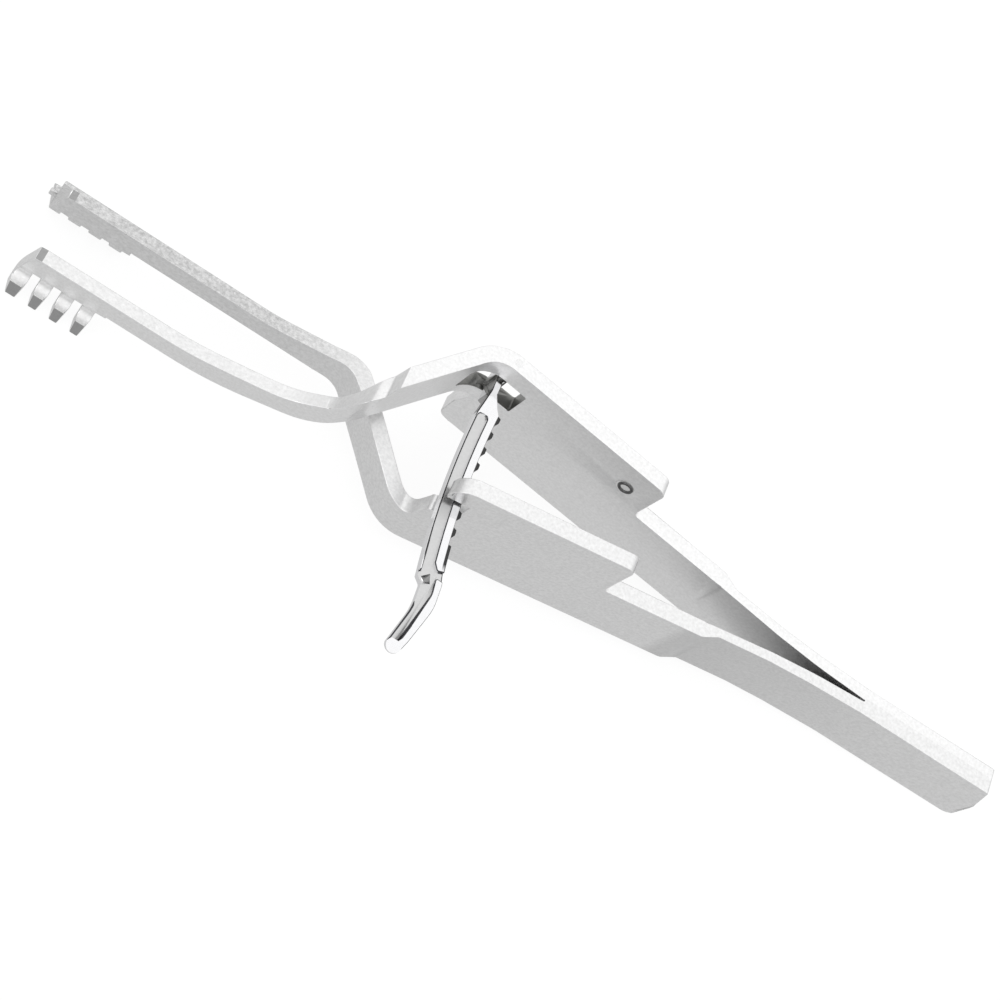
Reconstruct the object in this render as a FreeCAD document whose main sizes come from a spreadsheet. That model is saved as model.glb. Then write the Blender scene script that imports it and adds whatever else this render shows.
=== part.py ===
import FreeCAD, Part
import math
import os
from FreeCAD import Vector

# Cross action retractor, self-retaining: two spring arms welded together at the handle end,
# crossing in front of their thumb plates, with outward hooked prongs and a ratchet bar.
#
# Frame: origin in the middle of the welded handle end, on its lower face and on the plane between
# the arms. +X points to the handle end, -X to the prongs, +Y to the far arm's plate, +Z up.
# A "reach" is a distance from the origin towards the prongs, so its x is minus the reach.

doc = FreeCAD.newDocument("CrossActionRetractor")
sheet = doc.addObject("Spreadsheet::Sheet", "Sizes")

SIZES = {
    # welded handle end and spring leaves
    "handle_end_length": 12.9,
    "weld_front_reach": 10.8,
    "leaf_height": 10.5,
    "leaf_thickness": 1.45,
    "weld_width": 0.8,
    "butt_half_width": 1.82,
    "leaf_gap_at_weld": 0.12,
    "flex_reach": 23.0,
    "flex_offset": 1.62,
    "flex_clearance": 0.03,
    "leaf_free_length": 12.5,
    "leaf_jog_length": 2.2,
    "leaf_taper": 0.2,
    # thumb plates
    "plate_height": 18.46,
    "plate_thickness": 2.18,
    "plate_angle": 7.52,
    "plate_rear_reach": 50.4,
    "plate_rear_offset": 4.69,
    "plate_step_room": 0.2,
    "plate_corner_radius": 1.25,
    "bend_radius": 6.4,
    # necks, which cross on the middle plane
    "neck_angle": 49.2,
    "neck_thickness": 2.1,
    "neck_cross_reach": 86.5,
    "far_neck_underside": 8.16,
    "near_neck_top": 5.95,
    # straight prong arms
    "prong_arm_reach": 129.9,
    "near_arm_lead": 0.35,
    "prong_arm_offset": 3.76,
    "prong_arm_thickness": 1.8,
    "prong_arm_top": 2.94,
    "prong_arm_drop": 0.42,
    "nose_slope_length": 1.1,
    "nose_facet_length": 0.85,
    "arm_bend_radius": 5.3,
    # hooked prongs
    "prong_count": 4,
    "prong_pitch": 2.85,
    "prong_first_reach": 128.67,
    "near_prong_lead": 0.88,
    "near_prong_lean": 0.9,
    "prong_root_width": 1.72,
    "prong_tip_width": 1.0,
    "far_tip_inset": 0.5,
    "near_tip_inset": -0.8,
    "far_root_depth": 0.3,
    "near_root_depth": 0.7,
    "prong_drop": 0.4,
    "prong_inner_radius": 1.15,
    "prong_turn": 120.0,
    # ratchet bar, its window in the far plate and its slot in the near plate
    "bar_top": 14.6,
    "bar_thickness": 1.2,
    "head_underside": 10.8,
    "stem_thickness": 0.8,
    "stem_lead": 0.2,
    "bar_arc_radius": 108.0,
    "bar_arc_lead": 0.1,
    "bar_arc_offset": -1.0,
    "bar_front_width": 1.12,
    "bar_rear_width": 1.53,
    "tooth_count": 8,
    "tooth_pitch": 2.31,
    "tooth_depth": 0.42,
    "tooth_length": 1.42,
    "first_tooth_offset": 3.4,
    "toothless_length": 3.5,
    "tail_end_offset": 30.35,
    "tail_slope_offset": 28.5,
    "flute_width": 1.35,
    "flute_middle": -0.2,
    "flute_depth": 0.35,
    "flute_front_offset": 2.7,
    "window_front_room": 3.0,
    "window_rear_room": 2.65,
    "window_room_below": 0.35,
    "window_room_above": 0.6,
    "slot_rear_room": 0.95,
    "slot_length": 3.3,
    "slot_room_below": 3.0,
    "slot_room_above": 0.5,
    "boss_height": 0.4,
    # pivot pin, leaf spring and rivet of the ratchet bar
    "pin_reach": 74.4,
    "pin_radius": 0.6,
    "pin_length": 9.56,
    "pin_clearance": 0.05,
    "eye_radius": 1.0,
    "eye_cam_reach": 1.38,
    "eye_cam_width": 1.18,
    "spring_clearance": 0.12,
    "spring_thickness": 0.5,
    "spring_width": 3.6,
    "rivet_reach": 54.1,
    "rivet_height": 13.95,
    "rivet_shank_radius": 0.65,
    "rivet_head_radius": 1.25,
    "rivet_dome_height": 0.45,
}


def fill_sheet():
    for row, (name, value) in enumerate(SIZES.items(), start=1):
        sheet.set("A%d" % row, name.replace("_", " "))
        sheet.set("B%d" % row, str(value))
        sheet.setAlias("B%d" % row, name)
    doc.recompute()


def size(name):
    return float(getattr(sheet, name))


# Outlines


def rounded(corners, closed=True):
    """Lines and arcs through corners (x, y) or (x, y, radius)."""
    points = [Vector(c[0], c[1], 0) for c in corners]
    radii = [c[2] if len(c) > 2 else 0.0 for c in corners]
    count = len(points)
    starts, ends, arcs = list(points), list(points), {}
    for i in range(count):
        inner = closed or 0 < i < count - 1
        if radii[i] <= 0 or not inner:
            continue
        before = (points[i - 1] - points[i]).normalize()
        after = (points[(i + 1) % count] - points[i]).normalize()
        half = before.getAngle(after) / 2
        tangent = radii[i] / math.tan(half)
        centre = points[i] + (before + after).normalize() * (radii[i] / math.sin(half))
        ends[i] = points[i] + before * tangent
        starts[i] = points[i] + after * tangent
        middle = centre + (points[i] - centre).normalize() * radii[i]
        arcs[i] = Part.Arc(ends[i], middle, starts[i])
    edges = []
    for i in range(count):
        if i in arcs:
            edges.append(arcs[i])
        if (closed or i < count - 1) and (starts[i] - ends[(i + 1) % count]).Length > 1e-6:
            edges.append(Part.LineSegment(starts[i], ends[(i + 1) % count]))
    return edges


def mirrored(corners, sign):
    return [(c[0], c[1] * sign) + tuple(c[2:]) for c in corners]


def meet(point_a, slope_a, point_b, slope_b):
    """Where two sloping lines of the plan cross."""
    x = (point_b[1] - point_a[1] + slope_a * point_a[0] - slope_b * point_b[0]) / (slope_a - slope_b)
    return x, point_a[1] + slope_a * (x - point_a[0])


# Bodies and features


def origin_plane(body, role):
    return next(f for f in body.Origin.OriginFeatures if f.Role == role)


def new_body(label):
    body = doc.addObject("PartDesign::Body", label + "_body")
    body.Label = label
    body.Placement = FreeCAD.Placement()
    return body


def new_sketch(body, name, role, geometry, lift=None, turn=None):
    sketch = body.newObject("Sketcher::SketchObject", name)
    sketch.AttachmentSupport = [(origin_plane(body, role), "")]
    sketch.MapMode = "FlatFace"
    sketch.AttachmentOffset = FreeCAD.Placement(lift or Vector(), turn or FreeCAD.Rotation())
    sketch.addGeometry(geometry, False)
    return sketch


def new_pad(body, name, sketch, length):
    pad = body.newObject("PartDesign::Pad", name)
    pad.Profile = sketch
    pad.setExpression("Length", length)
    return pad


def new_pocket(body, name, sketch, length=None):
    pocket = body.newObject("PartDesign::Pocket", name)
    pocket.Profile = sketch
    if length is None:
        pocket.Type = "ThroughAll"
        pocket.Midplane = True
    else:
        pocket.setExpression("Length", length)
    return pocket


def keep_side(body, name, corners):
    """Leave only what lies inside the side outline, seen along Y."""
    reach = size("prong_arm_reach") + 20
    height = size("plate_height") + 20
    frame = rounded([(-reach, -20), (reach, -20), (reach, height), (-reach, height)])
    sketch = new_sketch(body, name + "_outline", "XZ_Plane", frame + rounded(corners))
    return new_pocket(body, name, sketch)


# Plan lines shared by both arms, given for the arm whose plate lies at +Y


def plate_slope():
    return -math.tan(math.radians(size("plate_angle")))


def neck_slope():
    return math.tan(math.radians(size("neck_angle")))


def plate_inner(x):
    return size("plate_rear_offset") + plate_slope() * (x + size("plate_rear_reach"))


def plate_outer(x):
    return plate_inner(x) + size("plate_thickness") / math.cos(math.radians(size("plate_angle")))


def neck_front(x):
    return neck_slope() * (x + size("neck_cross_reach"))


def neck_rear(x):
    return neck_front(x) - size("neck_thickness") / math.cos(math.radians(size("neck_angle")))


def line_at(y, line):
    """The x where the neck line reaches y."""
    return (y - line(0)) / neck_slope()


def arm_front(lead):
    return -size("prong_arm_reach") - lead


def leaf_line():
    """Direction and normal of the arm's leaf, whose inner face runs from the plate to the flex line."""
    centre = Vector(-size("flex_reach"), size("flex_offset"), 0)
    leaf_x = centre.x - size("leaf_free_length")
    start = Vector(leaf_x, plate_inner(leaf_x), 0)
    away = centre - start
    turn = math.atan2(away.y, away.x) - math.asin(size("leaf_thickness") / 2 / away.Length)
    return start, centre, Vector(math.cos(turn), math.sin(turn), 0), Vector(-math.sin(turn), math.cos(turn), 0)


def arm_plan(lead):
    half = size("leaf_thickness") / 2
    start, centre, along, across = leaf_line()
    jog_x = start.x + size("leaf_jog_length")
    outer_face = centre + across * half
    jog_y = outer_face.y + (jog_x - outer_face.x) * along.y / along.x - size("leaf_taper")
    low_end, high_end = centre + (along - across) * half, centre + (along + across) * half
    inner_bend = meet((0, plate_inner(0)), plate_slope(), (0, neck_rear(0)), neck_slope())
    outer_bend = meet((0, plate_outer(0)), plate_slope(), (0, neck_front(0)), neck_slope())
    front = arm_front(lead)
    inner, outer = -size("prong_arm_offset"), -size("prong_arm_offset") - size("prong_arm_thickness")
    bend, arm_bend = size("bend_radius"), size("arm_bend_radius")
    return [
        (low_end.x, low_end.y, 0.97 * half),
        (start.x, start.y, 4),
        inner_bend + (bend - size("plate_thickness"),),
        (line_at(outer, neck_rear), outer, arm_bend),
        (front, outer),
        (front, inner),
        (line_at(inner, neck_front), inner, arm_bend - size("prong_arm_thickness")),
        outer_bend + (bend,),
        (start.x, plate_outer(start.x), 1.6),
        (jog_x, jog_y, 1.0),
        (high_end.x, high_end.y, 0.97 * half),
    ]


# Side outlines


def rear_side():
    """The shared rear of both side outlines, from the lower edge up to the plate's top."""
    rear = 0.0
    step = -size("plate_rear_reach") + size("plate_step_room")
    return [
        (rear, 0),
        (rear, size("leaf_height")),
        (step, size("leaf_height"), 0.6),
        (step, size("plate_height"), size("plate_corner_radius")),
    ]


def far_side():
    top, low = size("prong_arm_top"), -size("prong_arm_drop")
    under = size("far_neck_underside")
    crease = -size("neck_cross_reach") + 0.2
    height = size("plate_height")
    lobe = -size("plate_rear_reach") - 25.9
    return rear_side() + [
        (crease, height, 0.15),
        (crease - 0.5, height - 2.5, 0.4),
        (crease - 1.7, height - 3.1, 1.2),
        (crease - 4.4, top + 7.16, 5),
        (crease - 8.9, top + 3.1, 12),
        (crease - 21.2, top, 30),
        (arm_front(1), top),
        (arm_front(1), low),
        (crease - 17.7, low, 30),
        (crease - 6.3, under - 4.66, 9),
        (crease - 1.5, under, 3),
        (lobe + 1.4, under, 0.6),
        (lobe, under - 3.0, 1.6),
        (lobe, 0, 2.0),
    ]


def slot_rear():
    """Rear wall of the near plate's slot, behind the tips of the teeth."""
    tips = -size("pin_reach") - size("bar_arc_lead") + size("bar_rear_width") + size("tooth_depth")
    return tips + size("slot_rear_room")


def near_side():
    top, low = size("prong_arm_top"), -size("prong_arm_drop")
    neck = size("near_neck_top")
    rear = slot_rear()
    lobe = rear - size("slot_length")
    roof = size("bar_top") + size("slot_room_above")
    floor = size("bar_top") - size("bar_thickness") - size("slot_room_below")
    cross = -size("neck_cross_reach")
    return rear_side() + [
        (lobe, size("plate_height"), 2.6),
        (lobe, roof, 0.3),
        (rear, roof, 0.2),
        (rear, floor, 0.2),
        (lobe, floor, 0.7),
        (lobe - 0.9, neck, 1.6),
        (cross - 0.7, neck, 4),
        (cross - 6.0, top + 1.45, 20),
        (cross - 14.0, top, 20),
        (arm_front(1), top),
        (arm_front(1), low),
        (cross - 6.5, low, 5),
        (cross + 3.5, 0, 5),
    ]


# Prongs


def prong_profile(side):
    """Hook seen along X: down from the arm, out and up again. side is +1 for prongs at -Y."""
    inner = size("prong_arm_offset")
    thick = size("prong_arm_thickness")
    small = size("prong_inner_radius")
    low = -size("prong_arm_drop")
    centre = Vector(inner + thick + small, low - size("prong_drop"), 0)
    turn = math.radians(size("prong_turn"))

    def at(radius, angle):
        return centre + Vector(-radius * math.cos(angle), -radius * math.sin(angle), 0)

    big = small + thick
    points = [Vector(inner, low + 0.3, 0), at(big, 0), at(big, turn / 2), at(big, turn),
              at(small, turn), at(small, turn / 2), at(small, 0), Vector(inner + thick, low + 0.3, 0)]
    a, b, c, d, e, f, g, k = [Vector(-side * p.x, p.y, 0) for p in points]
    return [Part.LineSegment(a, b), Part.Arc(b, c, d), Part.LineSegment(d, e), Part.Arc(e, f, g),
            Part.LineSegment(g, k), Part.LineSegment(k, a)]


def prong_gaps(side, lead, prong_lead, lean, tip_inset):
    """Plan outlines of the spaces beside and between the prongs, wider towards their tips."""
    count = int(size("prong_count"))
    pitch, root, tip = size("prong_pitch"), size("prong_root_width"), size("prong_tip_width")
    first = -size("prong_first_reach") - prong_lead
    near = size("prong_arm_offset") - 1
    knee, far = hook_knee(), hook_end()
    edges = []
    for k in range(count + 1):
        left, right = first + (k - 1) * pitch, first + k * pitch
        l_root, l_tip = left + root / 2, left + tip / 2 - lean
        r_root, r_tip = right - root / 2, right - tip / 2 - lean
        if k == 0:
            l_root = l_tip = comb_front(lead, lean) - 1
            r_root, r_tip = arm_front(lead), arm_front(lead) + tip_inset
        if k == count:
            r_root = r_tip = right
        r_knee = knee if k else front_knee(lean)
        outline = [(l_root, near), (r_root, near), (r_root, r_knee), (r_tip, far), (l_tip, far), (l_root, knee)]
        edges += rounded(mirrored(outline, -side))
    return edges


def hook_knee():
    """Offset from the middle plane at which a prong begins to narrow."""
    return size("prong_arm_offset") + size("prong_arm_thickness") + 0.6 * size("prong_inner_radius")


def front_knee(lean):
    """The same for the front edge of the first prong, which leans out from further in."""
    return hook_knee() - 1.33 * lean


def hook_end():
    """Offset just past the prongs' tips."""
    big = size("prong_inner_radius") + size("prong_arm_thickness")
    return size("prong_arm_offset") + 1.52 * big


def comb_front(lead, lean):
    return arm_front(lead) - lean


def nose_outline(lead):
    """What the slanting front end and its small top facet leave free, seen along Y."""
    front, top = arm_front(lead), size("prong_arm_top")
    slope, facet = size("nose_slope_length"), size("nose_facet_length")
    return [
        (front - 3, -6),
        (front, -6),
        (front, -2.6, 6),
        (front + slope, top - 0.33),
        (front + slope + 0.17, top - 0.1),
        (front + slope + 0.17 + facet, top),
        (front + slope + 0.17 + facet, top + 3),
        (front - 3, top + 3),
    ]


def add_prongs(body, arm, side, lead, prong_lead, lean):
    name = arm + "_arm"
    front = Vector(0, 0, comb_front(lead, lean))
    comb = new_sketch(body, name + "_prong_hook", "YZ_Plane", prong_profile(side), front)
    new_pad(body, name + "_prong_comb", comb, "Sizes.prong_count * Sizes.prong_pitch + 0.6")
    level = Vector(0, 0, -size("prong_arm_drop") - size(arm + "_root_depth"))
    gaps = prong_gaps(side, lead, prong_lead, lean, size(arm + "_tip_inset"))
    new_pocket(body, name + "_prong_cut", new_sketch(body, name + "_prong_gaps", "XY_Plane", gaps, level), "20")
    nose = new_sketch(body, name + "_nose_outline", "XZ_Plane", rounded(nose_outline(lead)))
    cut = new_pocket(body, name + "_nose", nose, str(2 * front_knee(lean)))
    cut.Midplane = True


# Arms


def arm_blank(arm, side, side_outline, lead, prong_lead, lean):
    label = arm + "_arm"
    body = new_body(label)
    level = Vector(0, 0, -size("prong_arm_drop"))
    plan = new_sketch(body, label + "_plan", "XY_Plane", rounded(mirrored(arm_plan(lead), side)), level)
    new_pad(body, label + "_blank", plan, "Sizes.plate_height + Sizes.prong_arm_drop")
    keep_side(body, label + "_side", side_outline)
    add_prongs(body, arm, side, lead, prong_lead, lean)
    return body


def plate_turn():
    """Rotation that lays a plane of the XZ origin plane flat on the far plate's inner face."""
    return FreeCAD.Rotation(Vector(0, 1, 0), -size("plate_angle"))


def build_far_arm():
    body = arm_blank("far", 1, far_side(), 0, 0, 0)
    front = -size("pin_reach") - size("eye_radius") - size("window_front_room")
    rear = -size("pin_reach") + size("eye_radius") + size("window_rear_room")
    low = size("head_underside") - size("window_room_below")
    high = size("bar_top") + size("window_room_above")
    window = rounded([(front, low, 0.5), (rear, low, 0.3), (rear, high, 0.3), (front, high, 0.5)])
    new_pocket(body, "far_window", new_sketch(body, "far_window_outline", "XZ_Plane", window))
    pin_x = -size("pin_reach")
    circle = [Part.Circle(Vector(pin_x, pin_offset(), 0), Vector(0, 0, 1), size("pin_radius"))]
    bore = new_sketch(body, "pin_bore_outline", "XY_Plane", circle, Vector(0, 0, size("plate_height")))
    new_pocket(body, "pin_bore", bore, "Sizes.pin_length")
    doc.recompute()
    rivet = rivet_point()
    spot = [Part.Circle(Vector(), Vector(0, 0, 1), size("rivet_shank_radius"))]
    lift = Vector(rivet.x, rivet.z, -rivet.y)
    centre = new_sketch(body, "rivet_spot", "XZ_Plane", spot, lift, plate_turn())
    doc.recompute()
    hole = body.newObject("PartDesign::Hole", "rivet_hole")
    hole.Profile = centre
    hole.DepthType = "ThroughAll"
    hole.HoleCutType = "Countersink"
    hole.HoleCutCustomValues = True
    hole.setExpression("Diameter", "2 * Sizes.rivet_shank_radius")
    hole.setExpression("HoleCutDiameter", "2 * Sizes.rivet_head_radius")
    hole.HoleCutCountersinkAngle = 90
    return body


def build_near_arm():
    lead, prong_lead = size("near_arm_lead"), size("near_prong_lead")
    return arm_blank("near", -1, near_side(), lead, prong_lead, size("near_prong_lean"))


# Rear halves of the spring leaves, welded face to face in the handle end


def leaf_plan():
    flex_x, flex_y, half = -size("flex_reach"), size("flex_offset"), size("leaf_thickness") / 2
    weld = -size("weld_front_reach")
    end = size("handle_end_length")
    gap = size("leaf_gap_at_weld")
    return [
        (flex_x, flex_y - half),
        (flex_x + 5.5, gap + 0.36, 20),
        (weld, gap),
        (weld, size("weld_width") / 2),
        (end, size("weld_width") / 2),
        (end, size("butt_half_width"), 0.3),
        (weld, size("butt_half_width"), 20),
        (flex_x, flex_y + half),
    ]


def butt_side():
    end, height = size("handle_end_length"), size("leaf_height")
    front = -size("flex_reach") - 5
    return [(front, 0), (end, 0, 1.6), (end, 0.45 * height, 8), (end - 1.9, height, 0.4), (front, height)]


def build_leaf(label, side):
    body = new_body(label)
    plan = new_sketch(body, label + "_plan", "XY_Plane", rounded(mirrored(leaf_plan(), side)))
    new_pad(body, label + "_blank", plan, "Sizes.leaf_height")
    keep_side(body, label + "_side", butt_side())
    centre = Vector(-size("flex_reach"), side * size("flex_offset"), 0)
    radius = size("leaf_thickness") / 2 + size("flex_clearance")
    circle = [Part.Circle(centre, Vector(0, 0, 1), radius)]
    new_pocket(body, label + "_socket", new_sketch(body, label + "_socket_outline", "XY_Plane", circle))
    return body


def build_weld():
    body = new_body("butt_weld")
    front, end, half = -size("weld_front_reach"), size("handle_end_length"), size("weld_width") / 2
    plan = rounded([(front, -half), (end, -half), (end, half), (front, half)])
    new_pad(body, "weld_bead", new_sketch(body, "weld_plan", "XY_Plane", plan), "Sizes.leaf_height")
    keep_side(body, "weld_side", butt_side())
    return body


# Ratchet bar


def bar_point(y, width):
    """A point of the bar's plan at y, width behind (+X) or in front (-X) of its middle arc."""
    radius = size("bar_arc_radius") - width
    rise = y - size("bar_arc_offset")
    centre_x = size("bar_arc_radius") - size("pin_reach") - size("bar_arc_lead")
    return centre_x - math.sqrt(radius ** 2 - rise ** 2), y


def bar_arc(width, start, end):
    points = [Vector(*bar_point(y, width), 0) for y in (start, (start + end) / 2, end)]
    return Part.Arc(*points)


def tooth_line():
    """Rear edge from the last tooth to the first: steep towards the far plate, round towards the tail."""
    flat, length = size("bar_rear_width"), size("tooth_length")
    tips = flat + size("tooth_depth")
    points = [bar_point(tooth_start(int(size("tooth_count"))), tips),
              bar_point(tooth_start(int(size("tooth_count"))), flat)]
    for k in reversed(range(int(size("tooth_count")))):
        steep = tooth_start(k)
        points += [bar_point(steep - length, flat),
                   bar_point(steep - 0.6 * length, tips) + (0.5,),
                   bar_point(steep - 0.1 * length, tips) + (0.12,),
                   bar_point(steep, flat)]
    return points


def tooth_start(k):
    return size("first_tooth_offset") - k * size("tooth_pitch")


def pin_offset():
    x = -size("pin_reach")
    return (plate_inner(x) + plate_outer(x)) / 2


def bar_plan():
    """Tail, toothless stretch, teeth, and the narrow upright stem that ends in the eye."""
    front = -size("bar_front_width")
    tips = size("bar_rear_width") + size("tooth_depth")
    shoulder, waist = -20.4, 2.5
    blank = tooth_start(int(size("tooth_count")))
    blank_end = blank - size("toothless_length")
    left = bar_point(shoulder, front)[0]
    end = -size("tail_end_offset")
    tail_front = [
        bar_point(shoulder, front),
        (left + 0.8, shoulder - 0.7, 0.6),
        (left + 1.0, shoulder - 3.8, 9),
        (left - 0.1, end + 1.0),
    ]
    tail_rear = [
        (left + 1.94, end + 0.9),
        (left + 3.4, shoulder - 2.9, 7),
        (left + 3.15, shoulder + 0.2, 2.5),
        bar_point(blank_end, tips),
    ]
    tip = Part.Arc(Vector(*tail_front[-1], 0), Vector(left + 0.85, end, 0), Vector(*tail_rear[0], 0))
    stem_rear = -size("pin_reach") - size("stem_lead") + size("stem_thickness") / 2
    stem_front = stem_rear - size("stem_thickness")
    head = pin_offset() - 0.8 * size("eye_radius")
    stem = [
        bar_point(tooth_start(0), size("bar_rear_width")),
        (stem_rear + 0.76, 4.27, 0.3),
        (stem_rear, 5.95, 0.6),
        (stem_rear, head),
        (stem_front, head),
        (stem_front, 6.1, 2),
        bar_point(waist, front),
    ]
    return ([bar_arc(front, waist, shoulder)] + rounded(tail_front, closed=False) + [tip]
            + rounded(tail_rear, closed=False) + [bar_arc(tips, blank_end, blank)]
            + rounded(tooth_line(), closed=False) + rounded(stem, closed=False))


def bar_flute():
    """Shallow trough along the top face, open over the tail, and the notch that ends the tooth band."""
    middle, half = size("flute_middle"), size("flute_width") / 2
    start, end, open_end = size("flute_front_offset") - half, -18.0, -19.6
    crest = -size("pin_reach") - size("bar_arc_lead") + 1.6
    a, b = Vector(*bar_point(start, middle - half), 0), Vector(*bar_point(start, middle + half), 0)
    top = Vector(*bar_point(start + half, middle), 0)
    opening = [
        bar_point(end, middle + half),
        (crest + 0.9, -18.85, 0.35),
        (crest + 2.0, -18.45),
        (crest + 2.5, -19.75),
        (crest + 1.1, -19.62, 0.3),
        (crest + 1.45, -21.8, 3),
        (crest + 0.7, -26.4, 8),
        (crest + 0.15, -size("tail_slope_offset") - 0.45),
        (crest - 3.1, -size("tail_slope_offset") - 0.45),
        (crest - 2.3, -20.9),
        bar_point(open_end, middle - half),
    ]
    return ([bar_arc(middle - half, open_end, start), Part.Arc(a, top, b), bar_arc(middle + half, start, end)]
            + rounded(opening, closed=False))


def eye_outline():
    """Round eye with a square cam that the leaf spring presses on."""
    eye, reach, half = size("eye_radius"), size("eye_cam_reach"), size("eye_cam_width") / 2
    pin_x, pin_y = -size("pin_reach"), pin_offset()
    rise = math.sqrt(eye ** 2 - half ** 2)
    a, b = Vector(pin_x - half, pin_y + rise, 0), Vector(pin_x + half, pin_y + rise, 0)
    c, d = Vector(pin_x + half, pin_y + reach, 0), Vector(pin_x - half, pin_y + reach, 0)
    return [Part.Arc(a, Vector(pin_x, pin_y - eye, 0), b), Part.LineSegment(b, c), Part.LineSegment(c, d),
            Part.LineSegment(d, a)]


def bar_side():
    """What is cut away below the strip and above the tail's end, seen along X."""
    top, under = size("bar_top"), size("bar_top") - size("bar_thickness")
    low, far = size("head_underside"), -size("tail_end_offset") - 5
    slope = -size("tail_slope_offset")
    below = [(far, low - 1), (6.1, low - 1), (6.1, low), (4.3, under), (far, under)]
    end = -size("tail_end_offset")
    beyond = [(slope, top), (end - 0.1, under + 0.15), (far, under + 0.15), (far, top + 1), (slope, top + 1)]
    return rounded(below) + rounded(beyond)


def build_bar():
    body = new_body("ratchet_bar")
    low, top = Vector(0, 0, size("head_underside")), Vector(0, 0, size("bar_top"))
    thick = "Sizes.bar_top - Sizes.head_underside"
    new_pad(body, "bar_strip", new_sketch(body, "bar_plan", "XY_Plane", bar_plan(), low), thick)
    pin_x, pin_y = -size("pin_reach"), pin_offset()
    new_pad(body, "bar_eye", new_sketch(body, "eye_outline", "XY_Plane", eye_outline(), low), thick)
    bore = [Part.Circle(Vector(pin_x, pin_y, 0), Vector(0, 0, 1), size("pin_radius") + size("pin_clearance"))]
    new_pocket(body, "eye_bore", new_sketch(body, "eye_bore_outline", "XY_Plane", bore))
    new_pocket(body, "flute", new_sketch(body, "flute_outline", "XY_Plane", bar_flute(), top), "Sizes.flute_depth")
    new_pocket(body, "bar_side", new_sketch(body, "bar_side_outline", "YZ_Plane", bar_side()))
    floor = Vector(0, 0, size("bar_top") - size("flute_depth"))
    mark = bar_point(-20.33, -0.72)
    diamond = [mark, (mark[0] + 0.85, mark[1] + 0.72), (mark[0] + 1.3, mark[1] - 0.26),
               (mark[0] + 0.5, mark[1] - 0.7)]
    new_pad(body, "boss", new_sketch(body, "boss_outline", "XY_Plane", rounded(diamond), floor), "Sizes.boss_height")
    return body


# Pivot pin, leaf spring and rivet


def build_pin():
    body = new_body("ratchet_pin")
    circle = [Part.Circle(Vector(-size("pin_reach"), pin_offset(), 0), Vector(0, 0, 1), size("pin_radius"))]
    foot = Vector(0, 0, size("plate_height") - size("pin_length"))
    new_pad(body, "pin_shank", new_sketch(body, "pin_outline", "XY_Plane", circle, foot), "Sizes.pin_length")
    return body


def build_spring():
    body = new_body("ratchet_spring")
    rear, front = -size("rivet_reach") + 2.1, -size("pin_reach") - 1.6
    flat_end, lift_start = -size("pin_reach") + 3.0, -size("pin_reach") + 6.0
    pin_x = -size("pin_reach")
    lift = pin_offset() + size("eye_cam_reach") + size("spring_clearance") - plate_outer(pin_x)
    thick = size("spring_thickness") / math.cos(math.radians(size("plate_angle")))
    inner = [(rear, 0, 0), (lift_start, 0, 6), (flat_end, lift, 6), (front, lift, 0)]
    lower = [(x, plate_outer(x) + up, r) for x, up, r in inner]
    upper = [(x, plate_outer(x) + up + thick, r) for x, up, r in reversed(inner)]
    foot = Vector(0, 0, size("rivet_height") - size("spring_width") / 2)
    plan = new_sketch(body, "spring_plan", "XY_Plane", rounded(lower + upper), foot)
    new_pad(body, "spring_strip", plan, "Sizes.spring_width")
    rivet = rivet_point()
    spot = [Part.Circle(Vector(), Vector(0, 0, 1), size("rivet_shank_radius"))]
    lift_off = Vector(rivet.x, rivet.z, -rivet.y)
    hole = new_sketch(body, "spring_hole_outline", "XZ_Plane", spot, lift_off, plate_turn())
    new_pocket(body, "spring_hole", hole)
    return body


def rivet_point():
    x = -size("rivet_reach")
    return Vector(x, plate_inner(x), size("rivet_height"))


def build_rivet():
    """Turned about the plate's normal: countersunk head inside, shank, low dome outside."""
    body = new_body("spring_rivet")
    shank, head = size("rivet_shank_radius"), size("rivet_head_radius")
    seat = size("plate_thickness") + size("spring_thickness")
    dome, dome_radius = size("rivet_dome_height"), 1.75 * shank
    profile = rounded([(0, 0), (head, 0), (shank, head - shank), (shank, seat), (dome_radius, seat),
                       (dome_radius, seat + 0.4 * dome, 0.1), (0.45 * dome_radius, seat + dome, 0.3),
                       (0, seat + dome)])
    sketch = new_sketch(body, "rivet_profile", "XY_Plane", profile)
    turned = body.newObject("PartDesign::Revolution", "rivet_turned")
    turned.Profile = sketch
    turned.ReferenceAxis = (sketch, ["V_Axis"])
    turned.Angle = 360
    body.Placement = FreeCAD.Placement(rivet_point(), FreeCAD.Rotation(Vector(0, 0, 1), -size("plate_angle")))
    return body


def check_and_export(bodies):
    doc.recompute()
    os.makedirs("parts", exist_ok=True)
    for item in doc.Objects:
        if "Invalid" in item.State or "Error" in item.State:
            raise RuntimeError("feature failed: " + item.Name)
    for body in bodies:
        shape = body.Shape
        if shape.isNull() or not shape.isValid():
            raise RuntimeError("no valid solid: " + body.Label)
        shape.exportStep("parts/%s.step" % body.Label)
        box = shape.BoundBox
        print("%-15s solids %d volume %8.2f x %.2f..%.2f y %.2f..%.2f z %.2f..%.2f" % (
            body.Label, len(shape.Solids), shape.Volume, box.XMin, box.XMax, box.YMin, box.YMax,
            box.ZMin, box.ZMax))


def main():
    fill_sheet()
    bodies = [
        build_leaf("far_leaf", 1),
        build_leaf("near_leaf", -1),
        build_weld(),
        build_far_arm(),
        build_near_arm(),
        build_bar(),
        build_pin(),
        build_spring(),
        build_rivet(),
    ]
    check_and_export(bodies)


main()
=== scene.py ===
import math

import bmesh
import bpy
from mathutils import Matrix, Vector


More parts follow.
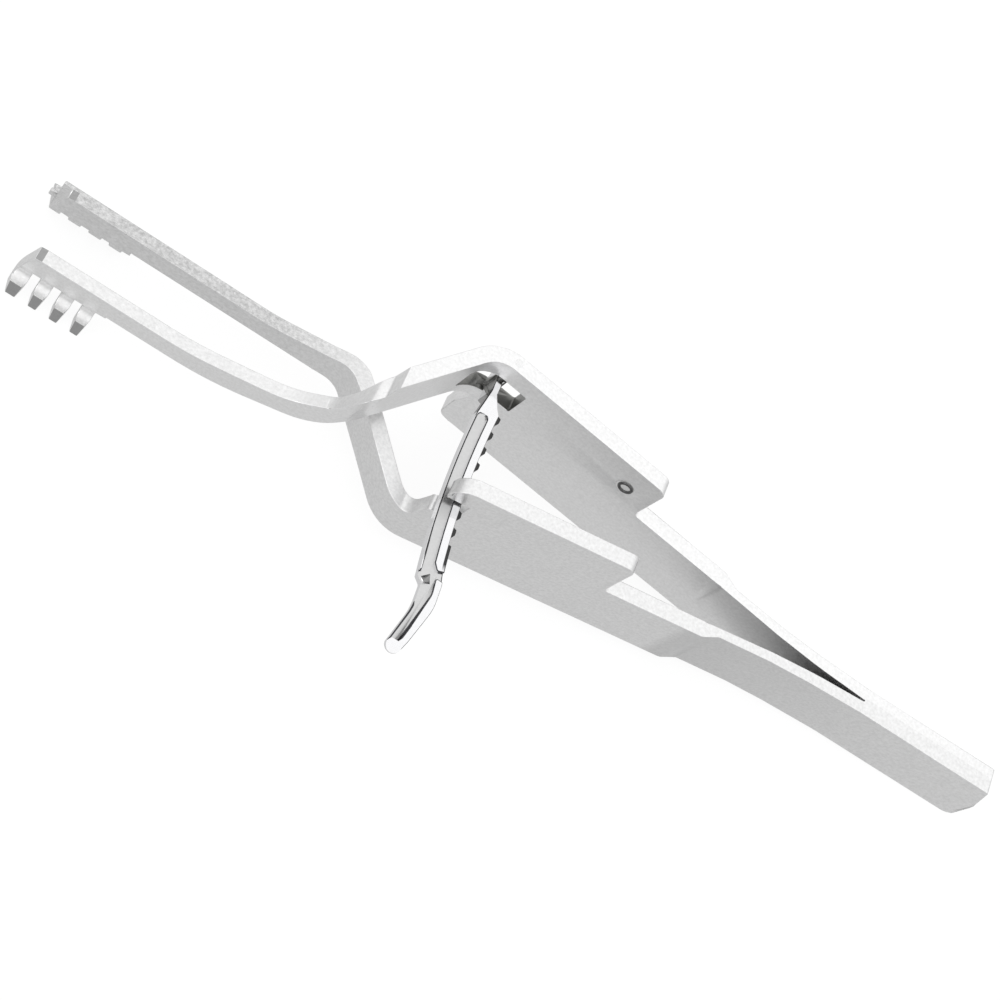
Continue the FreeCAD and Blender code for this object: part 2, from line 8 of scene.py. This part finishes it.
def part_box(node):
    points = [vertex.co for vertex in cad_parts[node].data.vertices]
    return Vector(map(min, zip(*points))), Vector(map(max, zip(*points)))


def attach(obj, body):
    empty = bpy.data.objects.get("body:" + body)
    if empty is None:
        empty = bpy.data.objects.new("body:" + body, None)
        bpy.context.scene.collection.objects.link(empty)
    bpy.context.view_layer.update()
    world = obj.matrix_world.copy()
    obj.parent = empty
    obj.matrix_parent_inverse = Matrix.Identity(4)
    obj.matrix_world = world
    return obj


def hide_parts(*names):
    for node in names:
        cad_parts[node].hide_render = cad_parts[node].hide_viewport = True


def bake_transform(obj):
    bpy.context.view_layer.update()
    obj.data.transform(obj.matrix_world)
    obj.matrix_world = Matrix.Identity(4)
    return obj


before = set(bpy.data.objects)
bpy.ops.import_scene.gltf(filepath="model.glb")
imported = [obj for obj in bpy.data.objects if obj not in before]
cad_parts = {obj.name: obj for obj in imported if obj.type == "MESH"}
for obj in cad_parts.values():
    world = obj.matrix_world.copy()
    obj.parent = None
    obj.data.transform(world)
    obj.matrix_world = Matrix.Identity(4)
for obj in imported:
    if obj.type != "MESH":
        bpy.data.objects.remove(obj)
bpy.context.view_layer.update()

# Lengths and places are in metres, in the part's own frame

# Camera, fitted to the photo's edges
CAMERA_SENSOR_MM = 36.0
CAMERA_LENS_MM = 78.324
CAMERA_CLIP = (0.01, 20.0)
CAMERA_PLACE = (-0.1381341, -0.1312090, 0.2310734)
CAMERA_RIGHT = (0.8130126, 0.3512729, 0.4643466)
CAMERA_UP = (-0.5166528, 0.8029762, 0.2971518)
CAMERA_BACK = (-0.2684779, -0.4814941, 0.8343159)

# Floor: it touches the prongs and rises to the handle end.
# Its white glow for camera rays and for glossy rays is given as strength and share.
FLOOR_X = -0.128
FLOOR_Z = -0.00377
FLOOR_SLOPE = 0.00377 / 0.139
FLOOR_REACH = 3.0
FLOOR_TONE = 0.80
FLOOR_SEEN = (1.06, 0.84)
FLOOR_MIRRORED = (0.68, 0.9)

# World: level by height, from straight down at 0 to straight up at 1
WORLD_LEVELS = ((0.0, 0.48), (0.49, 0.48), (0.51, 0.576), (0.58, 0.736),
                (0.66, 0.84), (0.80, 0.944), (0.91, 1.0), (1.0, 1.0))
WORLD_STRENGTH = 1.17
WORLD_SEEN = 0.88

# The one lamp
LAMP_PLACE = Vector((-0.75, -0.35, 0.45))
LAMP_TARGET = Vector((-0.06, 0, 0))
LAMP_SIZE = 0.3
LAMP_WATTS = 0.6

# Steel: each noise as scale, detail and roughness, then what is made of it
FINE_NOISE = (7000.0, 2.0, 0.5)
BROAD_NOISE = (2500.0, 4.0, 0.6)
SPOT_NOISE = (2600.0, 6.0, 0.75)
GRAIN_SPAN = (0.3, 0.7)
SPOT_SPAN = (0.36, 0.64)
BUMP_DEPTH = 0.00003
ROUGHNESS_PLAY = 0.04

# Steel: grey levels of the painted scoop shade, the dark mottling and the painted tooth shade
SCOOP_SHADE_LEVEL = 0.40
MOTTLE_LEVEL = 0.30
TOOTH_SHADE_LEVEL = 0.05

# What a ramp gives: growing or fading over its span
GROWING = (0.0, 1.0)
FADING = (1.0, 0.0)

# Painted scoop shade and dark mottling of the arms: spans of x in which they grow or fade, and of
# how far a face looks up
SCOOP_SHADE_START_X = (-0.0388, -0.0372)
SCOOP_SHADE_FADE_X = (-0.0360, -0.0040)
SCOOP_SHADE_SHARE = 0.34
SCOOP_SHADE_UPWARD = (0.3, 0.1)
MOTTLE_X = (-0.082, -0.100)
MOTTLE_UPWARD = (0.75, 0.95)
MOTTLE_SIDE_SHARE = 0.3
SPOT_LEAST = 0.25
SPOT_STRETCH = (0.7, 1.0, 1.0)

# Ratchet bar: middle arc, heights and how far a point may lie off them
BAR_CENTRE = Vector((0.0335, -0.001, 0.0))
BAR_RADIUS = 0.108
BAR_TOP = 0.0146
FLUTE_FLOOR = 0.01425
SLACK = 0.00003
MARK_DROP = 0.00034
MARK_EDGE = 0.0002

# Ratchet bar: distances from the arc's centre, and spans of y, for its painted shade
TEETH_REACH = (BAR_RADIUS - 0.00146, BAR_RADIUS - 0.00152)
RIM_REACH_FROM = (BAR_RADIUS + 0.00084, BAR_RADIUS + 0.00087)
RIM_REACH_TO = (BAR_RADIUS + 0.00109, BAR_RADIUS + 0.00107)
RIM_END_Y = (0.0024, 0.0018)
TEETH_START_Y = (-0.0185, -0.0176)
TEETH_END_Y = (0.0039, 0.0036)

# Ratchet bar: where its eye, stem, tail side, tail bend and tail end begin
EYE_Y = 0.0075
STEM_Y = 0.0026
STEM_SHADE_Y = (0.0022, 0.0068)
TAIL_SIDE_Y = -0.0150
TAIL_BEND_Y = -0.0197
TAIL_END_Y = -0.0235

# Ratchet bar: shares of the bevel's width
RIM_WEIGHT = 0.5
STEM_WEIGHT = 0.45
TAIL_WEIGHT = 0.6
TAIL_BEND_WEIGHT = 0.3
TAIL_END_WEIGHT = 0.8

# Arms: ends of the two halves beside the hinge line, and the cuts that let the leaf bend
ARM_END_X = -0.0255
LEAF_START_X = -0.0195
FIRST_CUT_X = -0.0380
LAST_CUT_X = -0.0080
CUT_STEP = 0.0015
CUT_SLACK = 1e-8
MERGE = 8e-6
FLAT_ANGLE = math.radians(0.4)

# Bevels and shading
ARM_BEVEL = 0.0001
OUTER_ANGLE = math.radians(40)
SHORT_EDGE = 0.00012
BAR_BEVEL = 0.00024
SMALL_BEVEL = 0.00008
SHARP_ANGLE = math.radians(30)

# Places on the arms: the pivot window, the prongs' ends and the seam under the weld
WINDOW_X = (-0.0785, -0.0690)
WINDOW_Z = (0.0095, 0.0160)
WINDOW_Y = 0.006
PRONG_X = -0.112
PRONG_FRONT_X = -0.127
PRONG_TIP_Y = -0.007
PRONG_TIP_Z = -0.0018
SEAM_X = -0.0115
SEAM_HALF = 0.0006

# Rivet: dark ring of painted shade around its head, on the far plate's inner side, which faces
# PLATE_INWARD
RING_RADIUS = 0.00086
RING_WIRE = 0.00022
RING_SINK = 0.00018
RING_STEPS = (40, 10)
PLATE_INWARD = Vector((-0.13087, -0.9914, 0))


# Node helpers

def grey(level):
    return (level, level, level)


def rgba(level):
    return (level, level, level, 1.0)


def new_node(tree, kind, **settings):
    node = tree.nodes.new("ShaderNode" + kind)
    for name, value in settings.items():
        setattr(node, name, value)
    return node


def feed(tree, socket, value):
    """Set a plain value on the socket, or link another socket to it."""
    if isinstance(value, (float, tuple)):
        socket.default_value = value
    else:
        tree.links.new(value, socket)


def new_material(name):
    mat = bpy.data.materials.new(name)
    mat.use_nodes = True
    tree = mat.node_tree
    tree.nodes.clear()
    out = new_node(tree, "OutputMaterial")
    bsdf = new_node(tree, "BsdfPrincipled")
    tree.links.new(bsdf.outputs["BSDF"], out.inputs["Surface"])
    return mat, tree, bsdf, out


def noise(tree, coords, scale, detail, rough):
    node = new_node(tree, "TexNoise")
    feed(tree, node.inputs["Vector"], coords)
    feed(tree, node.inputs["Scale"], scale)
    feed(tree, node.inputs["Detail"], detail)
    feed(tree, node.inputs["Roughness"], rough)
    return node.outputs["Fac"]


def ramp(tree, value, span, result):
    """Map the value from one span to another, held at both ends."""
    node = new_node(tree, "MapRange")
    names = ("Value", "From Min", "From Max", "To Min", "To Max")
    for name, number in zip(names, (value, *span, *result)):
        feed(tree, node.inputs[name], number)
    return node.outputs["Result"]


def computed(tree, operation, first, second):
    node = new_node(tree, "Math", operation=operation)
    feed(tree, node.inputs[0], first)
    feed(tree, node.inputs[1], second)
    return node.outputs[0]


def times(tree, first, second):
    return computed(tree, "MULTIPLY", first, second)


def vector_computed(tree, operation, first, second):
    node = new_node(tree, "VectorMath", operation=operation)
    feed(tree, node.inputs[0], first)
    feed(tree, node.inputs[1], second)
    return node.outputs["Vector"]


def length_of(tree, vector):
    node = new_node(tree, "VectorMath", operation="LENGTH")
    tree.links.new(vector, node.inputs[0])
    return node.outputs["Value"]


def split(tree, vector):
    """The vector's outputs X, Y and Z."""
    node = new_node(tree, "SeparateXYZ")
    tree.links.new(vector, node.inputs["Vector"])
    return node.outputs


def upward(tree):
    """How far the surface faces up."""
    return split(tree, new_node(tree, "NewGeometry").outputs["Normal"])["Z"]


def mixed_color(tree, share, first, second):
    mix = new_node(tree, "Mix", data_type="RGBA")
    tree.links.new(share, mix.inputs["Factor"])
    feed(tree, mix.inputs["A"], first)
    feed(tree, mix.inputs["B"], second)
    return mix.outputs["Result"]


# Steel, its dark mottling and its painted shade

def painted_scoop_shade(tree, coords):
    """Share of painted shade on the sides behind the plate, for the shade of a ground scoop, fading
    to the handle end.
    """
    x = split(tree, coords)["X"]
    side = ramp(tree, upward(tree), SCOOP_SHADE_UPWARD, GROWING)
    start = ramp(tree, x, SCOOP_SHADE_START_X, (0.0, SCOOP_SHADE_SHARE))
    fade = ramp(tree, x, SCOOP_SHADE_FADE_X, FADING)
    return times(tree, times(tree, start, fade), side)


def dark_mottle_on_top(tree, coords, amount):
    """Share of dark mottling, mostly on top faces, growing from the neck towards the noses."""
    along = ramp(tree, split(tree, coords)["X"], MOTTLE_X, (0.0, amount))
    top = ramp(tree, upward(tree), MOTTLE_UPWARD, (MOTTLE_SIDE_SHARE, 1.0))
    stretched = vector_computed(tree, "MULTIPLY", coords, SPOT_STRETCH)
    spots = ramp(tree, noise(tree, stretched, *SPOT_NOISE), SPOT_SPAN, (SPOT_LEAST, 1.0))
    return times(tree, times(tree, along, top), spots)


def tooth_shade(tree, coords):
    """Share of painted shade: the shaded chamfer over the teeth and a dark line along the other
    rim.
    """
    away = vector_computed(tree, "SUBTRACT", coords, tuple(BAR_CENTRE))
    reach = length_of(tree, vector_computed(tree, "MULTIPLY", away, (1.0, 1.0, 0.0)))
    y = split(tree, coords)["Y"]
    teeth = ramp(tree, reach, TEETH_REACH, GROWING)
    rim = ramp(tree, reach, RIM_REACH_FROM, GROWING)
    rim = times(tree, rim, ramp(tree, reach, RIM_REACH_TO, GROWING))
    rim = times(tree, rim, ramp(tree, y, RIM_END_Y, GROWING))
    started = ramp(tree, y, TEETH_START_Y, GROWING)
    tooth_shaded = times(tree, started, ramp(tree, y, TEETH_END_Y, GROWING))
    return times(tree, computed(tree, "MAXIMUM", teeth, rim), tooth_shaded)


def steel(name, color, roughness, grain=0.05, bump=0.02, mottle=0.0, scoop_shade=False, tooth_shaded=False):
    """Steel with a faint grain, and the dark mottling and painted shade that are asked for."""
    mat, tree, bsdf, out = new_material(name)
    coords = new_node(tree, "TexCoord").outputs["Object"]
    fine = noise(tree, coords, *FINE_NOISE)
    broad = noise(tree, coords, *BROAD_NOISE)
    dull = tuple(c * (1 - grain) for c in color) + (1.0,)
    bright = tuple(min(1.0, c * (1 + grain)) for c in color) + (1.0,)
    final = mixed_color(tree, ramp(tree, broad, GRAIN_SPAN, GROWING), dull, bright)
    # Painted shade of the scoop where the leaf starts
    if scoop_shade:
        final = mixed_color(tree, painted_scoop_shade(tree, coords), final, rgba(SCOOP_SHADE_LEVEL))
    if mottle:
        final = mixed_color(tree, dark_mottle_on_top(tree, coords, mottle), final, rgba(MOTTLE_LEVEL))
    # Painted shade over the teeth and along the other rim
    if tooth_shaded:
        final = mixed_color(tree, tooth_shade(tree, coords), final, rgba(TOOTH_SHADE_LEVEL))
    feed(tree, bsdf.inputs["Base Color"], final)
    span = (roughness - ROUGHNESS_PLAY, roughness + ROUGHNESS_PLAY)
    feed(tree, bsdf.inputs["Roughness"], ramp(tree, fine, GRAIN_SPAN, span))
    feed(tree, bsdf.inputs["Metallic"], 1.0)
    if bump:
        relief = new_node(tree, "Bump")
        feed(tree, relief.inputs["Strength"], bump)
        feed(tree, relief.inputs["Distance"], BUMP_DEPTH)
        feed(tree, relief.inputs["Height"], fine)
        feed(tree, bsdf.inputs["Normal"], relief.outputs["Normal"])
    return mat


# Camera, floor, world and lamp

def add_to_scene(name, data):
    item = bpy.data.objects.new(name, data)
    bpy.context.scene.collection.objects.link(item)
    return item


def make_camera():
    data = bpy.data.cameras.new("camera")
    data.sensor_width = CAMERA_SENSOR_MM
    data.lens = CAMERA_LENS_MM
    data.clip_start, data.clip_end = CAMERA_CLIP
    cam = add_to_scene("camera", data)
    turn = Matrix((CAMERA_RIGHT, CAMERA_UP, CAMERA_BACK)).transposed()
    cam.matrix_world = Matrix.Translation(CAMERA_PLACE) @ turn.to_4x4()
    bpy.context.scene.camera = cam


def glow(tree, strength):
    node = new_node(tree, "Emission")
    feed(tree, node.inputs["Color"], rgba(1.0))
    feed(tree, node.inputs["Strength"], strength)
    return node.outputs["Emission"]


def mixed_by_ray(tree, ray, surface, strength, share):
    """The surface, with a share of white glow for that kind of ray."""
    mix = new_node(tree, "MixShader")
    feed(tree, mix.inputs["Fac"], times(tree, ray, share))
    feed(tree, mix.inputs[1], surface)
    feed(tree, mix.inputs[2], glow(tree, strength))
    return mix.outputs["Shader"]


def make_floor():
    far = FLOOR_REACH
    corners = ((-far, -far), (far, -far), (far, far), (-far, far))
    mesh = bpy.data.meshes.new("floor")
    verts = [(x, y, FLOOR_Z + FLOOR_SLOPE * (x - FLOOR_X)) for x, y in corners]
    mesh.from_pydata(verts, [], [(0, 1, 2, 3)])
    floor = add_to_scene("floor", mesh)
    mat, tree, bsdf, out = new_material("floor")
    feed(tree, bsdf.inputs["Base Color"], rgba(FLOOR_TONE))
    feed(tree, bsdf.inputs["Roughness"], 0.9)
    feed(tree, bsdf.inputs["Specular IOR Level"], 0.1)
    rays = new_node(tree, "LightPath").outputs
    below = mixed_by_ray(tree, rays["Is Glossy Ray"], bsdf.outputs["BSDF"], *FLOOR_MIRRORED)
    seen = mixed_by_ray(tree, rays["Is Camera Ray"], below, *FLOOR_SEEN)
    feed(tree, out.inputs["Surface"], seen)
    floor.data.materials.append(mat)


def make_world():
    world = bpy.data.worlds.new("studio")
    bpy.context.scene.world = world
    world.use_nodes = True
    tree = world.node_tree
    tree.nodes.clear()
    out = new_node(tree, "OutputWorld")
    back = new_node(tree, "Background")
    height = split(tree, new_node(tree, "TexCoord").outputs["Generated"])["Z"]
    shade = new_node(tree, "ValToRGB")
    feed(tree, shade.inputs["Fac"], ramp(tree, height, (-1.0, 1.0), GROWING))
    stops = shade.color_ramp.elements
    for place, level in WORLD_LEVELS[1:-1]:
        stops.new(place)
    for stop, (place, level) in zip(stops, WORLD_LEVELS):
        stop.position = place
        stop.color = rgba(level)
    camera_ray = new_node(tree, "LightPath").outputs["Is Camera Ray"]
    white = mixed_color(tree, camera_ray, shade.outputs["Color"], rgba(WORLD_SEEN))
    feed(tree, back.inputs["Color"], white)
    feed(tree, back.inputs["Strength"], WORLD_STRENGTH)
    feed(tree, out.inputs["Surface"], back.outputs["Background"])


def make_lamp():
    data = bpy.data.lights.new("lamp_left", "AREA")
    data.shape = "RECTANGLE"
    data.size = data.size_y = LAMP_SIZE
    data.energy = LAMP_WATTS
    lamp = add_to_scene("lamp_left", data)
    lamp.location = LAMP_PLACE
    lamp.rotation_mode = "QUATERNION"
    lamp.rotation_quaternion = (LAMP_TARGET - LAMP_PLACE).to_track_quat("-Z", "Y")


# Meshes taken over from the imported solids

def mesh_copy(node):
    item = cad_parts[node]
    bm = bmesh.new()
    bm.from_mesh(item.data)
    bm.transform(item.matrix_world)
    bmesh.ops.remove_doubles(bm, verts=bm.verts, dist=MERGE)
    bmesh.ops.dissolve_limit(bm, angle_limit=FLAT_ANGLE, verts=bm.verts, edges=bm.edges)
    return bm


def add_object(name, bm, mats):
    mesh = bpy.data.meshes.new(name)
    bm.normal_update()
    bm.to_mesh(mesh)
    bm.free()
    for mat in mats:
        mesh.materials.append(mat)
    return add_to_scene(name, mesh)


def paint_faces(item, number, wanted):
    """Give the faces that wanted() picks the material of that number."""
    for face in item.data.polygons:
        if wanted(face.center, face.normal):
            face.material_index = number


def paint_all(item):
    for face in item.data.polygons:
        face.material_index = 0


def middle_of(edge):
    return (edge.verts[0].co + edge.verts[1].co) / 2


def weigh_edges(bm, weight_of):
    """Each edge gets its share of the bevel's width."""
    bm.normal_update()
    weights = bm.edges.layers.float.new("bevel_weight_edge")
    for edge in bm.edges:
        edge[weights] = weight_of(edge)


def weighted_bevel(item, width, hard):
    bevel = item.modifiers.new("edges", "BEVEL")
    bevel.width = width
    bevel.segments = 2
    bevel.limit_method = "WEIGHT"
    bevel.harden_normals = hard
    bevel.use_clamp_overlap = False
    item.data.shade_smooth()
    item.data.set_sharp_from_angle(angle=SHARP_ANGLE)
    return bevel


# The spring arms, each one continuous piece

def cut_across(bm, place, **cleared):
    """Cut the mesh across at x = place, and clear the side that is named."""
    bmesh.ops.bisect_plane(bm, geom=bm.verts[:] + bm.edges[:] + bm.faces[:], dist=CUT_SLACK,
                           plane_co=(place, 0, 0), plane_no=(1, 0, 0), **cleared)


def joined_arm(side):
    """Arm and leaf as one closed mesh: their ends at the hinge line are cut off and bridged."""
    bm = mesh_copy(f"{side}_arm")
    cut_across(bm, ARM_END_X, clear_outer=True)
    leaf = mesh_copy(f"{side}_leaf")
    cut_across(leaf, LEAF_START_X, clear_inner=True)
    part = bpy.data.meshes.new("leaf_part")
    leaf.to_mesh(part)
    leaf.free()
    bm.from_mesh(part)
    bpy.data.meshes.remove(part)
    bmesh.ops.bridge_loops(bm, edges=[e for e in bm.edges if e.is_boundary])
    bmesh.ops.recalc_face_normals(bm, faces=bm.faces)
    return bm


def leaf_cuts(bm):
    """Cut loops across the leaf so that it can bend."""
    place = FIRST_CUT_X
    while place <= LAST_CUT_X:
        cut_across(bm, place)
        place += CUT_STEP


def arm_weight(edge):
    """Outer edges get the bevel, apart from the seam that the weld fills."""
    middle = middle_of(edge)
    seam = middle.x > SEAM_X and abs(middle.y) < SEAM_HALF
    outer = edge.calc_face_angle_signed(0.0) > OUTER_ANGLE
    return 1.0 if outer and edge.calc_length() > SHORT_EDGE and not seam else 0.0


def in_window(centre, normal):
    across = WINDOW_X[0] < centre.x < WINDOW_X[1] and centre.y > WINDOW_Y
    return across and WINDOW_Z[0] < centre.z < WINDOW_Z[1] and abs(normal.y) < 0.6


def prong_end(centre, normal):
    """The sloped ends of the front row of prongs, and the facets on the noses."""
    low = centre.z < PRONG_TIP_Z and centre.y < PRONG_TIP_Y
    tip = low and normal.y < -0.7 and 0.25 < normal.z < 0.75
    facet = centre.x < PRONG_FRONT_X and 0.95 < normal.z < 0.998 and normal.x < -0.05
    return centre.x < PRONG_X and (tip or facet)


def make_arm(side, mats):
    """Materials: 0 the arm, 1 the prongs' ends, 2 the window's walls, painted dark as shade."""
    bm = joined_arm(side)
    leaf_cuts(bm)
    weigh_edges(bm, arm_weight)
    arm = add_object(f"{side}_spring_arm", bm, mats)
    paint_all(arm)
    paint_faces(arm, 1, prong_end)
    if side == "far":
        # The window's walls get painted shade
        paint_faces(arm, 2, in_window)
    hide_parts(f"{side}_arm", f"{side}_leaf")
    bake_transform(arm)
    weighted_bevel(arm, ARM_BEVEL, True)


# Ratchet bar, polished, with painted shade as dark lines along its edges

def bar_weight(edge):
    """Rims of the flute, the tail's sides and the stem's front edge get the bevel, painted dark as
    shade.
    """
    if len(edge.link_faces) != 2:
        return 0.0
    top, wall = sorted(edge.link_faces, key=lambda f: -f.normal.z)
    middle = middle_of(edge)
    if top.normal.z < 0.85 or abs(wall.normal.z) > 0.6 or middle.y > EYE_Y:
        return 0.0
    on_top = middle.z > BAR_TOP - SLACK
    if middle.y > STEM_Y and on_top:
        return STEM_WEIGHT if wall.normal.x < -0.3 else 0.0
    if on_top and min(v.co.z for v in wall.verts) > FLUTE_FLOOR - SLACK:
        return RIM_WEIGHT
    if middle.z < FLUTE_FLOOR - SLACK:
        return 0.0
    if wall.normal.x > 0.2 and middle.y < TAIL_SIDE_Y:
        return TAIL_WEIGHT if middle.y > TAIL_BEND_Y else TAIL_BEND_WEIGHT
    return TAIL_END_WEIGHT if middle.y < TAIL_END_Y and wall.normal.x < -0.2 else 0.0


def facet_mark(bm):
    """The raised diamond gets a ridge between two sloping facets."""
    bm.normal_update()
    raised = BAR_TOP + SLACK
    for face in [f for f in bm.faces if f.normal.z > 0.9 and f.calc_center_median().z > raised]:
        ends = (min(face.verts, key=lambda v: v.co.x), max(face.verts, key=lambda v: v.co.x))
        for vert in ends:
            vert.co.z -= MARK_DROP
        ridge = [v for v in face.verts if v not in ends]
        if len(ridge) == 2:
            bmesh.utils.face_split(face, ridge[0], ridge[1])


def flute_face(centre, normal):
    return normal.z > 0.98 and abs(centre.z - FLUTE_FLOOR) < SLACK


def shaded_face(centre, normal):
    """The stem's front side and the mark's two facets."""
    stem = normal.x < -0.4 and STEM_SHADE_Y[0] < centre.y < STEM_SHADE_Y[1]
    facet = 0.3 < normal.z < 0.97 and centre.z > BAR_TOP - MARK_EDGE
    return stem or facet


def make_bar(mats):
    """Materials: 0 polished, 1 the bevel's dark lines of painted shade, 2 the flute's floor, 3
    shaded faces.
    """
    bm = mesh_copy("ratchet_bar")
    facet_mark(bm)
    weigh_edges(bm, bar_weight)
    bar = add_object("ratchet_bar_body", bm, mats)
    paint_all(bar)
    paint_faces(bar, 2, flute_face)
    paint_faces(bar, 3, shaded_face)
    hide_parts("ratchet_bar")
    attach(bar, "ratchet_bar")
    # The bevel takes material 1, the painted shade along the edges
    weighted_bevel(bar, BAR_BEVEL, False).material = 1


# Rivet head: a dark ring of painted shade around a polished dome

def ring(name, centre, axis, mat):
    bm = bmesh.new()
    around, across = RING_STEPS
    turn = axis.to_track_quat("Z", "Y").to_matrix()
    rows = []
    for a in (2 * math.pi * i / around for i in range(around)):
        row = []
        for b in (2 * math.pi * j / across for j in range(across)):
            reach = RING_RADIUS + RING_WIRE * math.cos(b)
            spot = Vector((reach * math.cos(a), reach * math.sin(a), RING_WIRE * math.sin(b)))
            row.append(bm.verts.new(centre + turn @ spot))
        rows.append(row)
    for i in range(around):
        for j in range(across):
            k, m = (i + 1) % around, (j + 1) % across
            bm.faces.new((rows[i][j], rows[k][j], rows[k][m], rows[i][m]))
    item = add_object(name, bm, (mat,))
    item.data.shade_smooth()
    return item


def make_rivet_ring(mat):
    low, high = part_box("spring_rivet")
    centre = Vector(((low[0] + high[0]) / 2, low[1] + RING_SINK, (low[2] + high[2]) / 2))
    item = ring("rivet_ring", centre, PLATE_INWARD, mat)
    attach(item, "far_arm")


# Materials of the carried over solids

def small_bevel(item):
    bevel = item.modifiers.new("edges", "BEVEL")
    bevel.width = SMALL_BEVEL
    bevel.segments = 2
    bevel.limit_method = "ANGLE"
    bevel.angle_limit = OUTER_ANGLE
    bevel.harden_normals = True


def dress_frame(mats):
    """The weld stays without a bevel, so that it lies flush with the leaves."""
    for node, mat in mats.items():
        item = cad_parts[node]
        item.data.materials.clear()
        item.data.materials.append(mat)
        if node != "butt_weld":
            small_bevel(item)


def make_pieces():
    near = steel("arm_steel", grey(0.80), 0.34, grain=0.09, mottle=0.75, scoop_shade=True)
    # The far arm's steel is a lighter copy of the near arm's: painted light on the far arm
    far = steel("arm_steel_far_lightened", grey(0.86), 0.34, grain=0.07, mottle=0.25)
    ends = steel("arm_steel_ends", grey(0.34), 0.4)
    # Dark steel for the window's walls: painted shade in the recess
    window_shade = steel("arm_steel_window_shade", (0.26, 0.26, 0.25), 0.35)
    weld = steel("weld_steel", grey(0.80), 0.34, grain=0.09)
    bar = steel("bar_steel", (0.82, 0.82, 0.83), 0.10, grain=0.02, bump=0.0, tooth_shaded=True)
    # Near black steel for the bevels: painted shade along the bar's edges
    line = steel("bar_edge_shade", (0.07, 0.07, 0.075), 0.2, grain=0.02, bump=0.0)
    satin = steel("bar_satin", grey(0.60), 0.32, grain=0.03, bump=0.01)
    shade = steel("bar_shade", grey(0.30), 0.25, grain=0.03, bump=0.0)
    strip = steel("spring_steel", (0.55, 0.55, 0.56), 0.3)
    pin = steel("pin_steel", grey(0.80), 0.25)
    make_arm("far", (far, ends, window_shade))
    make_arm("near", (near, ends))
    make_bar((bar, line, satin, shade))
    # Near black steel for the ring: painted shade in the groove round the rivet head
    make_rivet_ring(steel("rivet_groove_shade", grey(0.12), 0.35))
    dress_frame({"butt_weld": weld, "ratchet_pin": pin,
                 "ratchet_spring": strip, "spring_rivet": pin})


make_camera()
make_world()
make_lamp()
make_floor()
make_pieces()

bpy.context.scene.view_settings.view_transform = "Standard"
